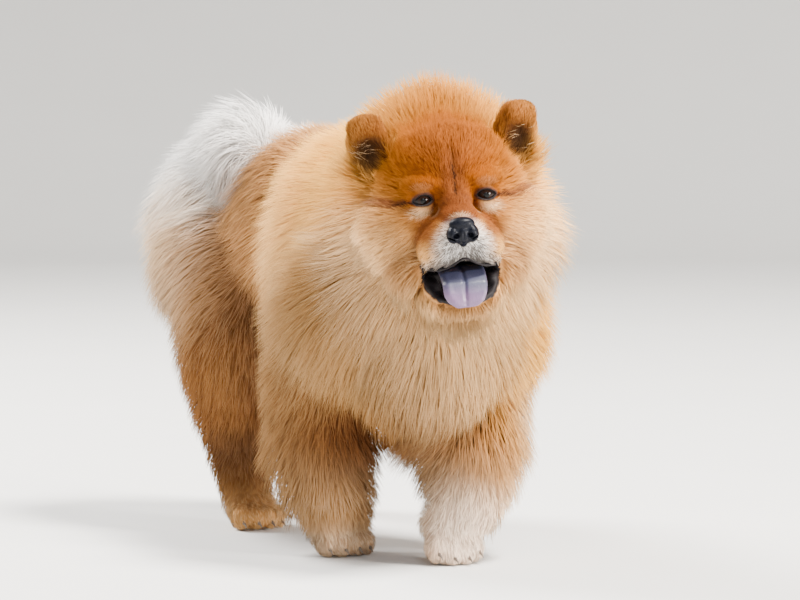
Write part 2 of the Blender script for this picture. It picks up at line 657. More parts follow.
def gather_strokes():
    """Every stroke as numbers in the world: region, place, way, the five sizes and its reach."""
    rows = []

    def add(region, axes, place, way, sizes, reach):
        turned = (axes.to_3x3() @ Vector(way)).normalized()
        sizes = [*metres(sizes[:3]), *sizes[3:]]
        rows.append([REGIONS.index(region), *(axes @ Vector(place)), *turned, *sizes, reach / 1000])

    def add_table(region, axes, table, paired, reach):
        for place, (u, v, w), *sizes in table:
            x, y, z = metres(place)
            for side in (1, -1) if paired and x else (1,):
                add(region, axes, (side * x, y, z), (side * u, v, w), sizes, reach)

    for coat in COATS:
        add_table(*coat)
    for name, (stops, _, _) in LEGS.items():
        for i in range(1, len(stops)):
            *centre, radius = stops[i]
            a, b = Vector(stops[i - 1][:3]), Vector(stops[min(i + 1, len(stops) - 1)][:3])
            way = (b - a).normalized() + Vector((0, 0.25, 0))
            sizes = [*LEG_COAT[name][i - 1], LEG_GATHERING, LEG_FREEDOM]
            for k in range(RING):
                angle = 2 * math.pi * k / RING
                out = Vector((math.cos(angle), math.sin(angle), 0))
                add("leg", BODY, Vector(centre) + radius * out, way + 0.25 * out, sizes, LEG_REACH)
        add_table("paw", PAWS[name], PAW_COAT, True, PAW_REACH)
    for axes in EARS.values():
        add_table("ear", axes, EAR_COAT, True, EAR_REACH)
    return np.array(rows)


STROKES = gather_strokes()
print("strokes of the comb:", len(STROKES))


# %% Blend the strokes
def comb(points):
    """The region, way and sizes of the coat at each point."""
    ways, sizes, region = [], [], []
    for part in np.array_split(points, max(1, len(points) // 20000)):
        gap2 = ((part[:, None, :] - STROKES[None, :, 1:4]) ** 2).sum(axis=2)
        weight = 1 / (gap2 + STROKES[:, REACH] ** 2) ** 2.5 * STROKES[:, REACH] ** 1.5
        weight /= weight.sum(axis=1, keepdims=True)
        ways.append(weight @ STROKES[:, 4:7])
        sizes.append(weight @ STROKES[:, 7:REACH])
        region.append(STROKES[weight.argmax(axis=1), 0].astype(int))
    ways = np.concatenate(ways)
    ways /= np.maximum(np.linalg.norm(ways, axis=1, keepdims=True), 1e-6)
    return np.concatenate(region), ways, np.concatenate(sizes)


crown = np.array([BODY @ Vector((0, 0, 0.5))])
print("on the back the coat is", round(comb(crown)[2][0, 0] * 1000), "mm long")


# %% [markdown]
# ## Markings
# A red chow isn't one colour. The forehead and the bridge of the nose are deepest, the brows and the
# patches under the eyes are cream, the muzzle is white, ticked with black, and the ruff pales towards its
# tips. Behind the ruff the flank is rust, and the plume of the tail is white. The marks are soft ellipsoids
# that are measured at each tuft's root, so skin and coat carry the same ones.

# %% Places of the marks
# channel, axes, centre and radii in millimetres (or points of a line and its width), softness, strength
MARKS = [
    ("rust", BODY, (-130, -150, 230), (150, 150, 150), 1.2, 0.36),
    ("cream", BODY, (-190, -140, 340), (110, 180, 170), 1.1, 0.45),
    ("cream", BODY, (-20, -330, 300), (130, 110, 150), 0.9, 0.62),
    ("deep", HEAD, (0, 30, 35), (100, 95, 85), 1.1, 0.75),
    ("deep", HEAD, (0, 20, 40), (75, 70, 60), 1.2, 0.85),
    ("deep", HEAD, (0, -8, 8), (50, 34, 36), 0.9, 0.95),
    ("deep", HEAD, (0, 0, -26), (62, 50, 44), 1, 0.5),
    ("deep", HEAD, (0, 85, 100), (86, 75, 55), 1.3, 0.62),
    ("rust", HEAD, (0, 10, 54), (44, 60, 36), 1.3, 0.6),
    ("rust", HEAD, (0, -10, 12), (14, 24, 36), 1, 0.85),
    ("rust", HEAD, (0, -34, -12), (30, 36, 20), 0.6, 1),
    ("cream", HEAD, (0, -56, -18.5), (18, 12, 3), 0.9, 0.45),
    ("white", HEAD, (0, -58, -57), (29, 34, 30), 0.9, 1),
    ("white", HEAD, (0, -46, -75), (47, 42, 13), 0.9, 0.75),
    ("rust", BODY, (-30, -190, 150), (100, 150, 90), 1, 0.8),
    ("rust", BODY, (0, 200, 240), (260, 160, 190), 0.7, 0.85),
    ("rust", BODY, (0, 20, 220), (120, 220, 70), 0.8, 0.85),
    ("white", BODY, (-75, 275, 490), (160, 150, 110), 0.4, 1),
    ("white", BODY, (-130, 275, 400), (110, 130, 130), 0.5, 0.9),
    ("cream", BODY, (-170, 250, 355), (95, 140, 105), 0.9, 0.9),
    ("rust", BODY, (-170, 250, 320), (100, 140, 90), 1.2, 0.25),
    ("deep", BODY, (0, 45, 400), (200, 90, 190), 0.9, 0.55),
    ("rust", BODY, (-60, 100, 400), (150, 70, 170), 0.9, 0.6),
    ("cream", BODY, (-40, 30, 400), (200, 130, 200), 0.9, 0.2),
    ("cream", BODY, (0, 200, 250), (260, 160, 170), 0.9, 0.09),
    ("rust", BODY, (-100, -110, 130), (90, 110, 150), 0.9, 0.4),
    ("rust", BODY, (-75, -150, 120), (60, 60, 90), 1.4, 0.4),
    ("cream", BODY, (-145, -80, 110), (45, 70, 110), 0.9, 0.25),
    ("cream", BODY, (35, -240, 70), (70, 70, 95), 1.2, 0.85),
    ("white", BODY, (20, -255, 30), (60, 60, 75), 1.3, 0.5),
    ("cream", BODY, (110, -180, 120), (58, 80, 120), 0.9, 0.85),
    ("white", BODY, (118, -190, 100), (50, 70, 100), 1.1, 0.4),
    ("deep", BODY, (44, -264, 172), (40, 60, 60), 1.3, 0.4),
    ("rust", BODY, (0, 230, 100), (160, 160, 70), 0.8, 0.6),
    ("cream", BODY, (0, 230, 15), (160, 160, 40), 0.9, 0.7),
    ("cream", BODY, (0, 210, 80), (160, 150, 75), 1.1, 0.16),
    ("cream", BODY, (-80, -120, 20), (70, 80, 34), 0.8, 0.85),
    ("white", BODY, (-80, -120, 10), (70, 80, 34), 0.8, 0.35),
    ("cream", BODY, (-85, -120, 60), (85, 95, 75), 1.2, 0.5),
    ("dark", HEAD, [(0, -14, 3), (1, -12, 26), (0, -2, 46)], 1.7, 1, 0.85),
    ("dark", BODY, (-70, 190, 110), (85, 95, 95), 1, 0.62),
    ("rust", HEAD, (0, -30, -132), (52, 52, 24), 0.9, 0.35),
    ("dark", HEAD, (0, -30, -130), (44, 44, 18), 1.3, 0.45),
    ("dark", HEAD, (0, -50, -70), (46, 40, 24), 1.1, 0.4),
    ("dark", BODY, (-120, -190, 225), (170, 200, 180), 1, 0.58),
    ("dark", BODY, (5, -290, 250), (140, 120, 130), 1.2, 0.42),
    ("dark", BODY, (0, -150, 140), (70, 120, 80), 1, 0.6),
    ("dark", BODY, (-135, -80, 130), (75, 100, 140), 1.1, 0.56),
    ("dark", BODY, (-75, -170, 110), (80, 90, 130), 1.1, 0.42),
    ("dark", BODY, (-120, 190, 230), (110, 160, 160), 1.1, 0.34),
    ("dark", BODY, (-170, 250, 320), (100, 140, 90), 1.1, 0.24),
    ("speck", HEAD, (0, -60, -60), (30, 34, 26), 1, 0.65),
    ("speck", HEAD, (0, -46, -75), (48, 44, 16), 1, 1),
]
PAIRED_MARKS = [
    ("cream", HEAD, (36, -10, 12), (12, 14, 4.5), 0.9, 0.08),
    ("cream", HEAD, (36, -12, -13), (14.5, 14, 7.5), 1, 0.85),
    ("rust", HEAD, (33, -20, -36), (12, 30, 24), 0.8, 0.9),
    ("rust", HEAD, (44, -14, -52), (6, 18, 20), 0.9, 0.8),
    ("rust", HEAD, [(52, -4, -3), (64, 6, -7), (80, 16, -1)], 4, 1, 1),
    ("dark", HEAD, [(49, 0, -3), (62, 0, -7)], 1.6, 1.2, 0.8),
    ("rust", HEAD, (58, -2, -72), (14, 20, 24), 1, 0.6),
    ("cream", HEAD, (106, 60, -60), (45, 60, 58), 1, 0.75),
    ("cream", HEAD, (78, 25, -48), (32, 45, 40), 1.1, 0.12),
    ("rust", EARS, (0, 0, 40), (34, 30, 40), 0.8, 0.75),
    ("dark", EARS, (0, -14, 2), (20, 20, 27), 0.6, 0.95),
]


def on_side(place, side):
    """A point, or each point of a line, on the left (1) or the right (-1)."""
    if isinstance(place, list):
        return [on_side(point, side) for point in place]
    return (side * place[0], *place[1:])


for side in (1, -1):
    for channel, axes, place, *rest in PAIRED_MARKS:
        MARKS.append((channel, axes[side] if axes is EARS else axes, on_side(place, side), *rest))
CHANNELS = ["deep", "rust", "cream", "white", "dark", "speck"]
COLOURS = 4                  # the first channels are colours, each laid over the one before
DARK, SPECK = CHANNELS.index("dark"), CHANNELS.index("speck")


# %% [markdown]
# Each mark has a soft edge, and a later colour covers the ones before it. Where the skin is bare, on the
# rims of the eyes, the lips and the lining of the mouth, it is black and grows no hair.

# %% Measure the marks
def egg(points, axes, centre, radii):
    """How far out the points lie in an ellipsoid, whose surface is at 1."""
    return np.linalg.norm((to_frame(points, axes) - np.array(centre)) / np.array(radii), axis=1)


def soft_step(reach, soft):
    """1 well inside 1, 0 well outside, with a soft edge."""
    edge = np.clip((1 + soft / 2 - reach) / soft, 0, 1)
    return edge * edge * (3 - 2 * edge)


def blot(points, axes, centre, radii, soft):
    """1 inside an ellipsoid, or along a line where the centre is a list of points, and 0 outside."""
    if isinstance(centre, list):
        flat = to_frame(points, axes) * (1, 0, 1)
        front = to_frame(points, axes)[:, 1] < 0.06
        return soft_step(line_distance(flat, [(x, 0, z) for x, _, z in centre]) / radii, soft) * front
    return soft_step(egg(points, axes, centre, radii), soft)


def marks_at(points):
    """How strongly to lay each mark over the ones before it, at each point."""
    found = np.zeros((len(points), len(CHANNELS)))
    for channel, axes, centre, radii, soft, strength in MARKS:
        cover = blot(points, axes, metres(centre), metres(radii), soft) * strength
        k = CHANNELS.index(channel)
        if k < COLOURS:              # a later colour covers the earlier ones
            found[:, :COLOURS] *= (1 - cover)[:, None]
            found[:, k] += cover
        else:
            found[:, k] = np.maximum(found[:, k], cover)
    # a share of the whole becomes a share of what the later colours leave
    left = np.ones(len(points))
    for k in reversed(range(COLOURS)):
        share = found[:, k].copy()
        found[:, k] = np.clip(share / np.maximum(left, 1e-6), 0, 1)
        left -= share
    return found


# %% Measure the bare skin
def bare_at(points, normals):
    """1 where the skin is bare and black: rims of the eyes, lips and the inside of the mouth."""
    local = to_frame(points, HEAD)
    near_lip = np.minimum(line_distance(local, upper_lip), line_distance(local, lower_lip))
    lining = (HEAD, MOUTH[0], np.array(MOUTH[1]) * 1.06)
    mid_mouth = np.array(HEAD @ Vector((0, -0.018, INNER[0][2])))
    inward = ((mid_mouth - points) * normals).sum(axis=1) > 0
    bare = [
        np.clip((0.0056 - near_lip) / 0.0012, 0, 1),
        soft_step(egg(points, *lining), 0.04),
        soft_step(egg(points, HEAD, *GAPE), 0.08),
        (np.abs(local - INNER[0]) < INNER[1]).all(axis=1) & inward,
    ]
    for side, rim in RIMS.items():
        bare.append(np.clip((0.0028 - line_distance(local, rim + rim[:1])) / 0.0010, 0, 1))
        bare.append((egg(points, HEAD, eye_at(side), [EYE_RADIUS + 0.0008] * 3) < 1) * 1.0)
    return np.max(bare, axis=0)


def write_marks(mesh, marks, bare, shade, tip):
    """Stores the marks on a mesh, for its material."""
    for name, values in (*zip(CHANNELS[:SPECK], marks.T), ("bare", bare), ("shade", shade), ("tip", tip)):
        layer = mesh.attributes.new(name, "FLOAT", "POINT")
        layer.data.foreach_set("value", np.ascontiguousarray(values, dtype=np.float32))


skin_points = points_of(skin.data)
skin_marks = marks_at(skin_points)
skin_marks[:, DARK] = np.maximum(skin_marks[:, DARK], 0.4 * skin_marks[:, SPECK])
write_marks(skin.data, skin_marks, bare_at(skin_points, normals_of(skin.data)),
            np.full(len(skin_points), 0.5), np.zeros(len(skin_points)))

# %% [markdown]
# ## One tuft
# A tuft is a bundle of hairs: a slim three-sided blade that swells a little above its root and runs out to
# a point. It is modelled once, along Z, from a cone that is cut into stretches, and every tuft of the coat
# is a copy of it, bent along its own path.

# %% The blade
HALF_WIDTH, HALF_THICK = 0.5, 0.22       # at the root, over the width that the comb gives


def blade(stretches):
    """The tuft's model: x across, y thick, z from 0 at the root to 1 at the tip."""
    bpy.ops.mesh.primitive_cone_add(vertices=3, radius1=1, radius2=0, depth=1, location=(0, 0, 0.5))
    obj = settle(bpy.context.object, "blade")
    cuts = [(bpy.ops.mesh.bisect, {"plane_co": (0, 0, k / stretches), "plane_no": (0, 0, 1)})
            for k in range(1, stretches)]
    edit(*cuts, (bpy.ops.mesh.quads_convert_to_tris, {}))
    for vertex in obj.data.vertices:
        t = vertex.co.z
        if t < 0.999:
            swell = (0.75 + 1.6 * t - 2.0 * t * t) / (1 - t)
            vertex.co.x *= swell * HALF_WIDTH
            vertex.co.y *= swell * HALF_THICK
    corners = points_of(obj.data)
    faces = np.array([tuple(face.vertices) for face in obj.data.polygons])
    bpy.data.objects.remove(obj)
    return corners, faces


BLADE_CORNERS, BLADE_FACES = blade(2)
print("triangles in a tuft:", len(BLADE_FACES))

# %% [markdown]
# ## Roots
# Roots are spread over the skin at random, but evenly: the skin's triangles are laid end to end, each as
# long as the number of tufts that it should carry, and the roots fall at equal steps along that line.

# %% Spread the roots
# How far apart the roots are, over the width of a tuft
SPACING = {"face": 1.55, "skull": 1.80, "ruff": 2.18, "trunk": 2.9, "tail": 2.15, "leg": 3.16, "paw": 2.65,
           "ear": 1.75}
SEED = 11
LOWEST_ROOT = 0.004
rng = np.random.default_rng(SEED)


def spread_roots(mesh):
    """Roots on the skin: place, normal and place on the unwrap."""
    mesh.calc_loop_triangles()
    corners, loops = (read(mesh.loop_triangles, field, kind=np.int32) for field in ("vertices", "loops"))
    place, out = points_of(mesh), normals_of(mesh)
    uv = read(mesh.uv_layers["OFBake"].data, "uv", 2)
    a, b, c = (place[corners[:, k]] for k in range(3))
    area = np.linalg.norm(np.cross(b - a, c - a), axis=1) / 2
    centre = (a + b + c) / 3
    region, _, sizes = comb(centre)
    spacing = sizes[:, 2] * np.array([SPACING[name] for name in REGIONS])[region]
    facing = np.cross(b - a, c - a)
    wanted = area / spacing ** 2 * (bare_at(centre, facing) < 0.5) * (centre[:, 2] > LOWEST_ROOT)
    line = np.cumsum(wanted)
    count = int(line[-1])
    face = np.searchsorted(line, (np.arange(count) + rng.random(count)) / count * line[-1])
    u, v = rng.random(count), rng.random(count)
    flip = u + v > 1
    u[flip], v[flip] = 1 - u[flip], 1 - v[flip]
    share = np.stack([1 - u - v, u, v], axis=1)[:, :, None]
    roots = (place[corners[face]] * share).sum(axis=1)
    normals = (out[corners[face]] * share).sum(axis=1)
    normals /= np.linalg.norm(normals, axis=1, keepdims=True)
    return roots, normals, (uv[loops[face]] * share).sum(axis=1)


roots, root_normals, root_uv = spread_roots(skin.data)
root_region, root_ways, root_sizes = comb(roots)
print("tufts:", len(roots), {name: int((root_region == k).sum()) for k, name in enumerate(REGIONS)})

# %% [markdown]
# ## Paths
# A tuft doesn't stick straight out. It leaves the skin, bends over and follows the body along the lie of
# the coat, so its path is walked over the skin in three steps and lifted more at each one.

# %% Walk the paths
STEPS = 3
DEEP_ROOT = 0.0008           # how far below the skin a tuft begins
LIFT_POWER = 0.85            # below 1, a tuft stands up soonest near its root
LOWEST = 0.0015              # no tuft goes nearer to the floor
SAG, SAGS_FROM = 0.10, 0.03  # how much of its length long hair hangs, and from which length
LENGTHS, RISES = (0.62, 1.12), (0.55, 1.08)      # the shares of the comb's length and rise that tufts take
TURN = 0.22                  # how far a tuft turns from the lie of the coat, in radians
WISP_LENGTH, WISP_RISE, WISPS = 1.5, 1.6, 0.022
ground = BVHTree.FromObject(skin, bpy.context.evaluated_depsgraph_get())


def walk(starts, ways, lengths, rises, freedoms):
    """For each tuft STEPS + 1 places and normals, from root to tip."""
    places = np.empty((len(starts), STEPS + 1, 3))
    outs = np.empty_like(places)
    lift = [(k / STEPS) ** LIFT_POWER for k in range(STEPS + 1)]
    for i in range(len(starts)):
        place = Vector(starts[i])
        way = Vector(ways[i])
        _, out, _, _ = ground.find_nearest(place)
        places[i, 0] = place - out * DEEP_ROOT
        outs[i, 0] = out
        along = way
        for k in range(1, STEPS + 1):
            flat = way - out * way.dot(out)
            flat.normalize()
            along = flat if k == 1 else flat.lerp(along, freedoms[i])
            place = place + along * (lengths[i] / STEPS)
            foot, out, _, _ = ground.find_nearest(place)
            held = foot + out * (rises[i] * lift[k])
            over = (place - held).dot(out) > 0
            place = held.lerp(place, freedoms[i]) if over else held
            places[i, k] = place
            outs[i, k] = out
    return places, outs


# %% Vary and gather them
def jitter(ways, normals, amount):
    """Turns each way about its normal by a random angle."""
    side = np.cross(normals, ways)
    angle = rng.normal(0, amount, len(ways))[:, None]
    return ways * np.cos(angle) + side * np.sin(angle)


def build_paths():
    count = len(roots)
    length = root_sizes[:, 0] * rng.uniform(*LENGTHS, count) * np.where(wisps, WISP_LENGTH, 1)
    rise = root_sizes[:, 1] * rng.uniform(*RISES, count) * np.where(wisps, WISP_RISE, 1)
    places, outs = walk(roots, jitter(root_ways, root_normals, TURN), length, rise, root_sizes[:, 4])
    # wisps: tips are drawn towards the path of a leader nearby
    gap = np.clip(root_sizes[:, 0] * 0.20, 0.003, 0.016)
    leaders = np.flatnonzero(rng.random(count) < (root_sizes[:, 2] * 1.35 / gap) ** 2)
    tree = KDTree(len(leaders))
    for n, i in enumerate(leaders):
        tree.insert(roots[i], n)
    tree.balance()
    lead = np.array([leaders[tree.find(root)[1]] for root in roots])
    pull = (np.arange(STEPS + 1) / STEPS) ** 1.6
    gather = root_sizes[:, 3, None] * pull[None, :] * rng.uniform(0.6, 1.1, count)[:, None]
    places += (places[lead] - places) * gather[:, :, None]
    # long hair sags under its own weight
    places[:, :, 2] -= (length[:, None] * SAG * pull[None, :]) * (length[:, None] > SAGS_FROM)
    places[:, :, 2] = np.maximum(places[:, :, 2], LOWEST)
    return places, outs


# %% Single odd tufts, and all the paths
root_marks = marks_at(roots)
ticked = rng.random(len(roots)) < root_marks[:, SPECK]    # single black tufts, on the muzzle
root_marks[ticked, DARK] = 0.85
in_ear = (root_region == REGIONS.index("ear")) & (root_marks[:, DARK] > 0.5)
wisps = in_ear & (rng.random(len(roots)) < WISPS)         # single long pale ones, across the ears' hollows
root_marks[wisps, 2:5] = (0.7, 0.0, 0.4)                  # cream, white and dark
head_x, _, head_z = (np.array(axis) for axis in HEAD.to_3x3().col)
root_ways[wisps] = 0.9 * (np.sign(to_frame(roots[wisps], HEAD)[:, :1]) * head_x) + head_z * 0.35
paths, path_normals = build_paths()
in_mouth = np.zeros(len(paths), dtype=bool)
for k in range(1, STEPS + 1):
    in_mouth |= egg(paths[:, k], HEAD, *GAPE) < 1
    in_mouth |= (np.abs(to_frame(paths[:, k], HEAD) - INNER[0]) < np.array(INNER[1]) * 0.86).all(axis=1)
keep = np.flatnonzero(~in_mouth)
paths, path_normals, roots, root_uv = paths[keep], path_normals[keep], roots[keep], root_uv[keep]
root_region, root_sizes, root_marks = root_region[keep], root_sizes[keep], root_marks[keep]
print("tufts kept out of the mouth:", int(in_mouth.sum()))

# %% [markdown]
# ## The coat
# Copies of the blade are bent along the paths and joined, region by region, into pieces of fewer than
# 200,000 triangles. Each tuft is also laid on the skin's unwrap as a small patch at its root's place.

# %% Bend the blades
PATCH = 0.003                # a tuft's size on the unwrap
SOFTNESS = 0.65              # how much of the skin's own normal a tuft takes on, as fine hair does
MOST = 190_000               # triangles in a piece


def at_heights(values, heights):
    """Values along each path at the blade's heights, by straight interpolation between the steps."""
    spot = np.clip(heights * STEPS, 0, STEPS - 1e-9)
    low = spot.astype(int)
    t = (spot - low)[None, :, None]
    return values[:, low] * (1 - t) + values[:, low + 1] * t


def tufts_mesh(name, chosen):
    """The chosen tufts as one mesh."""
    corners, faces = BLADE_CORNERS, BLADE_FACES
    heights = np.round(corners[:, 2], 4)
    way = np.gradient(paths[chosen], axis=1)
    way /= np.maximum(np.linalg.norm(way, axis=2, keepdims=True), 1e-9)
    side = np.cross(way, path_normals[chosen])
    side /= np.maximum(np.linalg.norm(side, axis=2, keepdims=True), 1e-9)
    up = np.cross(way, side)
    roll = rng.uniform(-0.7, 0.7, (len(chosen), 1, 1))
    side, up = side * np.cos(roll) + up * np.sin(roll), up * np.cos(roll) - side * np.sin(roll)
    width = root_sizes[chosen, 2][:, None, None] * rng.uniform(0.75, 1.25, (len(chosen), 1, 1))
    place = (at_heights(paths[chosen], heights)
             + at_heights(side, heights) * corners[None, :, 0, None] * width
             + at_heights(up, heights) * corners[None, :, 1, None] * width)
    count, each = len(chosen), len(corners)
    mesh = bpy.data.meshes.new(name)
    mesh.vertices.add(count * each)
    mesh.vertices.foreach_set("co", place.ravel())
    index = (faces[None] + (np.arange(count) * each)[:, None, None]).reshape(-1)
    mesh.loops.add(len(index))
    mesh.loops.foreach_set("vertex_index", index)
    mesh.polygons.add(len(index) // 3)
    mesh.polygons.foreach_set("loop_start", np.arange(0, len(index), 3))
    uv = np.repeat(root_uv[chosen][:, None, :], each, axis=1)
    uv = uv + np.stack([corners[:, 0], heights - 0.5], axis=1)[None] * PATCH
    layer = mesh.uv_layers.new(name="OFBake")
    layer.data.foreach_set("uv", uv.reshape(-1, 2)[index].ravel())
    marks = np.repeat(root_marks[chosen], each, axis=0)
    shade = np.repeat(rng.random(count), each)
    write_marks(mesh, marks, np.zeros(count * each), shade, np.tile(heights, count))
    mesh.update(calc_edges=True)
    mesh.validate()
    mesh.shade_smooth()
    under = at_heights(path_normals[chosen], heights).reshape(-1, 3)
    soft = (1 - SOFTNESS) * normals_of(mesh) + SOFTNESS * under
    mesh.normals_split_custom_set_from_vertices(soft / np.linalg.norm(soft, axis=1, keepdims=True))
    return mesh


# %% Make the pieces
COAT = []
for number, region in enumerate(REGIONS):
    members = np.flatnonzero(root_region == number)
    parts = max(1, math.ceil(len(members) * len(BLADE_FACES) / MOST))
    for k, chosen in enumerate(np.array_split(members, parts)):
        name = f"coat_{region}_{k + 1}" if parts > 1 else f"coat_{region}"
        COAT.append(linked(name, tufts_mesh(name, chosen)))
        print(name, len(COAT[-1].data.polygons), "triangles")
print("coat:", sum(len(piece.data.polygons) for piece in COAT), "triangles")


# %% [markdown]
# ## Eyes
# The ball is nearly all dark brown iris with a black pupil, under a clear bulging cornea that carries the
# light's reflection. A sphere with its pole turned out of the face gets the bulge by moving the points
# near the pole.

# %% Eyeballs
IRIS, BULGE = 0.0075, 0.0008
EYE_LOOK = Vector((0, -1, -0.04))        # the way both eyes look, in the head's axes


def make_eye(name, side):
    axes = HEAD @ Matrix.Translation(eye_at(side))
    bpy.ops.mesh.primitive_uv_sphere_add(segments=48, ring_count=32, radius=EYE_RADIUS)
    eye = bpy.context.object
    for vertex in eye.data.vertices:
        off = math.hypot(vertex.co.x, vertex.co.y)
        if vertex.co.z > 0 and off < IRIS:
            vertex.co.z += BULGE * (1 - (off / IRIS) ** 2) ** 2
    eye.matrix_world = axes @ EYE_LOOK.to_track_quat("Z", "Y").to_matrix().to_4x4()
    settle(eye, name)
    bpy.ops.object.shade_smooth()
    return eye, axes.translation.copy(), (axes.to_3x3() @ EYE_LOOK).normalized()


EYES = [make_eye("eyeball_right", -1), make_eye("eyeball_left", 1)]
print("eyes:", [eye.name for eye, _, _ in EYES])

# %% [markdown]
# ## Nose
# The leather of the nose is broad and square, with round nostrils that run out into a slit at each side
# and a groove down its middle.

# %% Nose leather
NOSE = [
    ((0, -53, -36.5), (17.8, 10.5, 13.5)), ((0, -54.5, -26.5), (15.2, 9.5, 8.5)),
    ((11.2, -55, -38), (8, 10.5, 10.4)), ((0, -56, -38), (7, 10, 11.6)), ((0, -52, -47.5), (5.2, 6.5, 6)),
]
OPENINGS = [        # a nostril and its slit: place, radii, and turn in radians
    ((8.5, -65.5, -39.2), (4.2, 8.5, 3.2), 0.45), ((13.5, -61, -42.5), (6.2, 6.2, 1.2), -0.5),
]
nose = fuse(spheres("nose_leather", clay(HEAD, NOSE)), voxel=0.0009, rounds=5)
for side in (-1, 1):
    for place, radii, angle in OPENINGS:
        turned = Matrix.Translation(metres(on_side(place, side))) @ Matrix.Rotation(side * angle, 4, "Y")
        hollow(nose, HEAD @ turned, (0, 0, 0), metres(radii))
sculpt(nose, HEAD, metres([([(0, -66, -36), (0, -66, -56)], 1.1, -2.2)]))
fuse(nose, voxel=0.0007, rounds=2)
bpy.ops.object.shade_smooth()
print("nose:", len(nose.data.polygons), "faces")

# %% [markdown]
# ## Tongue
# The blue-black tongue is the breed's mark. It lies over the lower lip, broad and thin, with a furrow down
# its middle and its edges a little raised.

# %% Tongue
TONGUE = metres([
    (0, 30, -88, 5.6), (-1, -8, -84, 5.8), (-2, -34, -87, 5.8), (-2, -51, -97, 5.7), (-3, -56, -107, 5.5),
    (-3, -58, -115, 4.7), (-3, -58.5, -121.5, 3),
])
FLATNESS = (5.0, 1, 1)
tongue = fuse(spheres("tongue_blade", chain(HEAD, TONGUE, 0.0004, FLATNESS)), voxel=0.0012, rounds=8)
furrow = [(x, y - 0.7 * r, z + 0.8 * r) for x, y, z, r in TONGUE[1:]]
grooves = [(furrow, 0.0022, -0.0022), (furrow, 0.0120, -0.0012)]
for s in (1, -1):
    edge = [(s * 4.0 * r, y - 0.6 * r, z + 0.6 * r) for x, y, z, r in TONGUE[1:]]
    grooves.append((edge, 0.0045, 0.0012))
sculpt(tongue, HEAD, grooves)
only(tongue)
bpy.ops.object.shade_smooth()
print("tongue:", len(tongue.data.polygons), "faces")

# %% [markdown]
# ## Claws
# Each toe ends in a short blunt claw, mostly hidden by the fur. One is modelled from a cone whose point is
# bent down, and copied to the sixteen toes.

# %% Claws
CLAW_LENGTH, CLAW_WIDTH = 0.011, 0.0028
CLAW_BEND, CLAW_POINT = 0.0035, 0.0006
CLAW_LIFT = 0.012                    # of a paw that stands on its toes
CLAW_CUTS = [(bpy.ops.mesh.bisect, {"plane_co": (0, 0, share * CLAW_LENGTH), "plane_no": (0, 0, 1)})
             for share in (-0.25, 0.0, 0.25)]


def model_claw():
    """One claw along Z, flattened and bent down towards its point."""
    bpy.ops.mesh.primitive_cone_add(vertices=12, radius1=CLAW_WIDTH, radius2=CLAW_POINT, depth=CLAW_LENGTH)
    edit(*CLAW_CUTS)
    claw = bpy.context.object
    for vertex in claw.data.vertices:
        t = vertex.co.z / CLAW_LENGTH + 0.5
        vertex.co.x *= 0.7
        vertex.co.y -= CLAW_BEND * t * t
    return claw


def copy_claw(mesh, paw, pitch, x, y):
    """A copy on one toe. On a pitched paw it is lifted, and turned level again."""
    claw = linked("claw", mesh.copy())
    place = Matrix.Translation((x * 1.02, y - 0.0205, 0.0105 + CLAW_LIFT * (pitch > 0)))
    claw.matrix_world = paw @ place @ Matrix.Rotation(math.radians(100) - pitch, 4, "X")
    return claw


model = model_claw()
claws = settle(join(*(copy_claw(model.data, PAWS[name], pitch, x, y)
                      for name, (_, _, pitch) in LEGS.items() for x, y in TOES)), "claws")
bpy.data.objects.remove(model)
only(claws)
edit(OUTWARD)
bpy.ops.object.shade_smooth_by_angle(angle=math.radians(50))
print("claws:", len(claws.data.polygons), "faces")

# %% [markdown]
# ## Writing shaders as sums
# Node trees are easier to read as formulas. This class wraps a socket, so that adding or multiplying two
# of them adds the Math node that does it.

# %% A small language for shaders
class Value:
    """A socket in a material's tree."""

    def __init__(self, finish, socket):
        self.finish, self.socket = finish, socket

    def _math(self, operation, *others):
        return self.finish.node("ShaderNodeMath", {"operation": operation}, [self, *others])

    def __add__(self, other):
        return self._math("ADD", other)

    __radd__ = __add__

    def __mul__(self, other):
        return self._math("MULTIPLY", other)

    __rmul__ = __mul__

    def __sub__(self, other):
        return self._math("SUBTRACT", other)

    def __rsub__(self, other):
        return self.finish.node("ShaderNodeMath", {"operation": "SUBTRACT"}, [other, self])

    def __pow__(self, other):
        return self._math("POWER", other)

    def between(self, low, high):
        """0 below low, 1 above high, smooth between."""
        return self.finish.node("ShaderNodeMapRange", {"interpolation_type": "SMOOTHSTEP"},
                                {"Value": self, "From Min": low, "From Max": high})


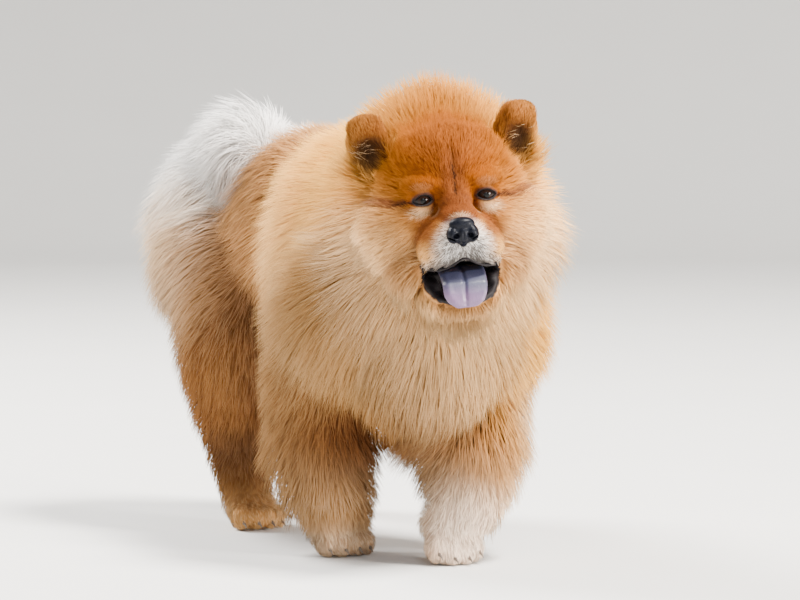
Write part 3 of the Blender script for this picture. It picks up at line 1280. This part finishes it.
class Finish:
    """A material and its tree."""

    def __init__(self, name):
        self.material = bpy.data.materials.new(name)
        self.material.use_nodes = True
        self.tree = self.material.node_tree
        self.shader = self.tree.nodes["Principled BSDF"]

    def node(self, kind, settings, values, output=0):
        """Adds a node: settings first, then its sockets' values or links, by name or in order."""
        made = self.tree.nodes.new(kind)
        for key, value in settings.items():
            setattr(made, key, value)
        pairs = values.items() if isinstance(values, dict) else enumerate(values)
        for key, value in pairs:
            self.put(made.inputs[key], value)
        return Value(self, made.outputs[output])

    def put(self, socket, value):
        if isinstance(value, Value):
            self.tree.links.new(value.socket, socket)
        elif socket.type == "RGBA" and len(value) == 3:
            socket.default_value = (*value, 1)
        else:
            socket.default_value = value

    def set(self, **sockets):
        """Sets the shader's own sockets, written with _ for a space."""
        for key, value in sockets.items():
            self.put(self.shader.inputs[key.replace("_", " ")], value)

    def attribute(self, name):
        return self.node("ShaderNodeAttribute", {"attribute_name": name}, {}, "Fac")

    def place(self):
        return self.node("ShaderNodeTexCoord", {}, {}, "Object")

    def noise(self, scale, detail=3.0, place=None):
        return self.node("ShaderNodeTexNoise", {}, {"Vector": place or self.place(), "Scale": scale,
                                                    "Detail": detail}, "Fac")

    def vector(self, operation, *values, output=0):
        return self.node("ShaderNodeVectorMath", {"operation": operation}, values, output)

    def mix(self, share, a, b):
        """The colour a, turning into b as the share goes from 0 to 1."""
        return self.node("ShaderNodeMix", {"data_type": "RGBA"}, {0: share, 6: a, 7: b}, 2)

    def brightened(self, colour, value):
        return self.node("ShaderNodeHueSaturation", {}, {"Color": colour, "Value": value}, "Color")

    def bump(self, height, strength, distance):
        return self.node("ShaderNodeBump", {}, {"Strength": strength, "Distance": distance, "Height": height},
                         "Normal")

    def on(self, obj):
        obj.data.materials.clear()
        obj.data.materials.append(self.material)


# %% [markdown]
# ## Colours of the coat
# Skin and coat share one recipe: a golden ground, over it the marks, then a change from hair to hair, from
# root to tip, and in broad soft patches. The skin only shows deep between the tufts, so it is darker.

# %% Coat and skin
GOLD, GOLD_TIP = (0.60, 0.190, 0.010), (0.96, 0.51, 0.105)
DEEP, DEEP_TIP = (0.15, 0.033, 0.001), (0.29, 0.071, 0.001)
RUST, RUST_TIP = (0.12, 0.029, 0.006), (0.21, 0.064, 0.018)
CREAM, CREAM_TIP = (0.78, 0.39, 0.13), (0.95, 0.69, 0.42)
WHITE, WHITE_TIP = (0.88, 0.83, 0.77), (0.97, 0.95, 0.93)
BLACK, BLACK_TIP = (0.014, 0.007, 0.005), (0.045, 0.024, 0.014)


def coat_colour(finish, tip):
    """The markings, with each colour paler towards the tip."""
    colour = finish.mix(tip, GOLD, GOLD_TIP)
    for channel, root, end in (("deep", DEEP, DEEP_TIP), ("rust", RUST, RUST_TIP),
                               ("cream", CREAM, CREAM_TIP), ("white", WHITE, WHITE_TIP),
                               ("dark", BLACK, BLACK_TIP)):
        colour = finish.mix(finish.attribute(channel), colour, finish.mix(tip, root, end))
    return colour


def coat_finish():
    finish = Finish("coat")
    tip = finish.attribute("tip")
    shade = finish.attribute("shade")
    broad, clumps = finish.noise(9.0, 2.0), finish.noise(34.0, 2.0)
    value = 0.86 + 0.18 * tip + 0.22 * (shade - 0.5) + 0.4 * (broad - 0.5) + 0.45 * (clumps - 0.5)
    finish.set(Base_Color=finish.brightened(coat_colour(finish, tip * 0.9), value), Roughness=0.80,
               Specular_IOR_Level=0.0)
    return finish


def skin_finish():
    finish = Finish("skin")
    bare = finish.attribute("bare")
    grain = finish.noise(900.0, 2.0)
    colour = finish.brightened(coat_colour(finish, 0.15), 0.65 + 0.3 * grain)
    leather = finish.mix(grain, (0.005, 0.004, 0.005), (0.014, 0.011, 0.012))
    finish.set(Base_Color=finish.mix(bare, colour, leather), Roughness=0.85 - 0.35 * bare,
               Specular_IOR_Level=0.12, Normal=finish.bump(finish.noise(1400.0, 3.0), 0.5, 0.0006))
    return finish


coat_paint, skin_paint = coat_finish(), skin_finish()
skin_paint.on(skin)
for piece in COAT:
    coat_paint.on(piece)
print("coat:", len(coat_paint.tree.nodes), "nodes; skin:", len(skin_paint.tree.nodes), "nodes")

# %% [markdown]
# ## Wet finishes
# Nose, tongue and eyes are the only places where light glances off, and that is what makes a face look
# alive. Each gets a clear coat over its own fine relief.

# %% Eyes, nose, tongue and claws
def eye_finish(name, centre, look):
    """Rings round the line of sight: pupil, iris with fine spokes, and the dark edge of the white."""
    finish = Finish(name)
    gap = finish.vector("SUBTRACT", finish.place(), centre)
    along = finish.vector("DOT_PRODUCT", gap, look, output="Value")
    full = finish.vector("LENGTH", gap, output="Value")
    off = (full * full - along * along) ** 0.5
    spokes = finish.noise(1500.0, 2.0)
    iris = finish.mix(spokes, (0.007, 0.003, 0.002), (0.022, 0.009, 0.005))
    iris = finish.mix(off.between(0.0055, 0.0075), iris, (0.008, 0.005, 0.004))
    colour = finish.mix(off.between(0.0032, 0.0040), (0.002, 0.002, 0.002), iris)
    colour = finish.mix(off.between(0.0085, 0.0105), colour, (0.045, 0.028, 0.024))
    finish.set(Base_Color=colour, Roughness=0.03, Specular_IOR_Level=0.14)
    return finish


def nose_finish():
    finish = Finish("nose")
    pebbles = finish.node("ShaderNodeTexVoronoi", {"feature": "SMOOTH_F1"},
                          {"Vector": finish.place(), "Scale": 900.0}, "Distance")
    colour = finish.mix(pebbles.between(0.1, 0.6), (0.008, 0.009, 0.014), (0.002, 0.0025, 0.005))
    finish.set(Base_Color=colour, Roughness=0.42 - 0.12 * finish.noise(160.0), Coat_Weight=0.03,
               Coat_Roughness=0.22, Specular_IOR_Level=0.08, Normal=finish.bump(1 - pebbles, 0.55, 0.0005))
    return finish


def tongue_finish():
    """Slate blue where it leaves the mouth, lavender where it hangs in the light."""
    finish = Finish("tongue")
    top, low = HEAD @ Vector((0, -0.050, -0.094)), HEAD @ Vector((0, -0.056, -0.114))
    height = finish.node("ShaderNodeSeparateXYZ", {}, [finish.place()], "Z")
    streaks = finish.noise(1.0, 4.0, finish.vector("MULTIPLY", finish.place(), (900, 900, 90)))
    fall = (height + 0.006 * (streaks - 0.5)).between(low.z, top.z)
    lavender = finish.mix(streaks, (0.085, 0.040, 0.105), (0.165, 0.095, 0.19))
    slate = finish.mix(streaks, (0.016, 0.017, 0.040), (0.050, 0.052, 0.10))
    papillae = finish.noise(1600.0, 2.0)
    finish.set(Base_Color=finish.mix(fall, lavender, slate), Roughness=0.32 + 0.2 * papillae,
               Coat_Weight=0.22, Coat_Roughness=0.20, Normal=finish.bump(papillae, 0.6, 0.0006),
               Subsurface_Weight=0.08, Subsurface_Radius=(0.004, 0.002, 0.002))
    return finish


def claw_finish():
    finish = Finish("claw")
    grain = finish.noise(500.0, 3.0)
    finish.set(Base_Color=finish.mix(grain, (0.10, 0.075, 0.060), (0.24, 0.19, 0.15)),
               Roughness=0.35 + 0.15 * grain)
    return finish


for eye, centre, look in EYES:
    eye_finish(eye.name, centre, look).on(eye)
nose_finish().on(nose)
tongue_finish().on(tongue)
claw_finish().on(claws)
print("wet pieces:", [piece.name for piece in (*(eye for eye, _, _ in EYES), nose, tongue)])

# %% [markdown]
# ## Joining the frame
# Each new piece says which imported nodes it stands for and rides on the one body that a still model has.

# %% Replace the solids
right_eye, left_eye = (eye for eye, _, _ in EYES)
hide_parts("head", "neck", "torso", "tail", "right_ear", "left_ear", "lower_jaw", *LEGS,
            *(name.replace("leg", "paw") for name in LEGS))
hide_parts("right_eye")
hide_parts("left_eye")
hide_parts("nose")
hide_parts("tongue")
SLOTS = {"face": "head", "skull": "head", "ruff": "ruff", "trunk": "body", "tail": "tail", "leg": "foreleg",
         "paw": "paw", "ear": "ear"}
slots = [(piece, SLOTS[piece.name.split("_")[1]]) for piece in COAT]
slots += [(skin, "body"), (nose, "nose"), (tongue, "tongue"), (claws, "paw"), (right_eye, "eye"),
          (left_eye, "eye")]
for piece, slot in slots:
    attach(piece, "root")
print("pieces:", len(slots))

# %% [markdown]
# ## Floor, light and camera
# The floor is a wide pale dish that curves up far from the dog, as a studio's sweep does, so no edge shows.
# Large soft lights show the form without hard shadows: the key stands high on the dog's left, as daylight
# would, a small low one brightens the raised left forepaw, a weak one in front lights the eyes, and one
# behind rims the back.

# %% Stage
FLAT, SWEEP, WALL = 7.0, 9.0, 6.0       # metres: the flat part's radius, then how far and how high it curves
bpy.ops.mesh.primitive_grid_add(x_subdivisions=120, y_subdivisions=120, size=34)
floor = bpy.context.object
floor.name = "floor"
for vertex in floor.data.vertices:
    t = min(max((math.hypot(vertex.co.x, vertex.co.y) - FLAT) / SWEEP, 0), 1)
    vertex.co.z = WALL * t * t * (3 - 2 * t)
bpy.ops.object.shade_smooth()
pale = Finish("floor")
pale.set(Base_Color=pale.mix(pale.noise(3.0), (0.74, 0.73, 0.71), (0.78, 0.77, 0.75)), Roughness=0.9)
pale.on(floor)

world = bpy.data.worlds.new("world")
world.use_nodes = True
world.node_tree.nodes["Background"].inputs["Color"].default_value = (0.93, 0.96, 1.0, 1)
world.node_tree.nodes["Background"].inputs["Strength"].default_value = 0.36
bpy.context.scene.world = world


def add_light(name, place, aim, size, power, colour):
    light = bpy.data.lights.new(name, "AREA")
    light.size, light.energy, light.color = size, power, colour
    lamp = linked(name, light)
    lamp.location = place
    lamp.rotation_euler = (Vector(aim) - Vector(place)).to_track_quat("-Z", "Y").to_euler()


CENTRE = (0, 0, 0.3)
add_light("key", (2.2, -3.2, 7.6), CENTRE, 2.0, 2750, (1.0, 0.96, 0.90))
add_light("side", (2.0, -3.0, 0.9), (0.05, -0.25, 0.08), 0.8, 250, (1.0, 0.95, 0.88))
add_light("front", (-0.89, -3.48, 1.76), CENTRE, 0.8, 40, (0.95, 0.97, 1.0))
add_light("rim", (-1.8, 3.0, 3.6), CENTRE, 2.0, 680, (1.0, 0.98, 0.95))

# %% Camera
CAMERA_AT = BODY @ Vector((-1.8571, -4.0992, 0.594))
LENS, SENSOR = 160.2, 36.0               # millimetres
LOOKS_DOWN, LOOKS_ROUND = 3.648, -25     # degrees
view = bpy.data.cameras.new("camera")
view.lens, view.sensor_width = LENS, SENSOR
camera = linked("camera", view)
camera.location = CAMERA_AT
camera.rotation_euler = (math.radians(90 - LOOKS_DOWN), 0, math.radians(LOOKS_ROUND))
bpy.context.scene.camera = camera

# %% Finish
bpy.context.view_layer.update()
bpy.ops.object.select_all(action="DESELECT")
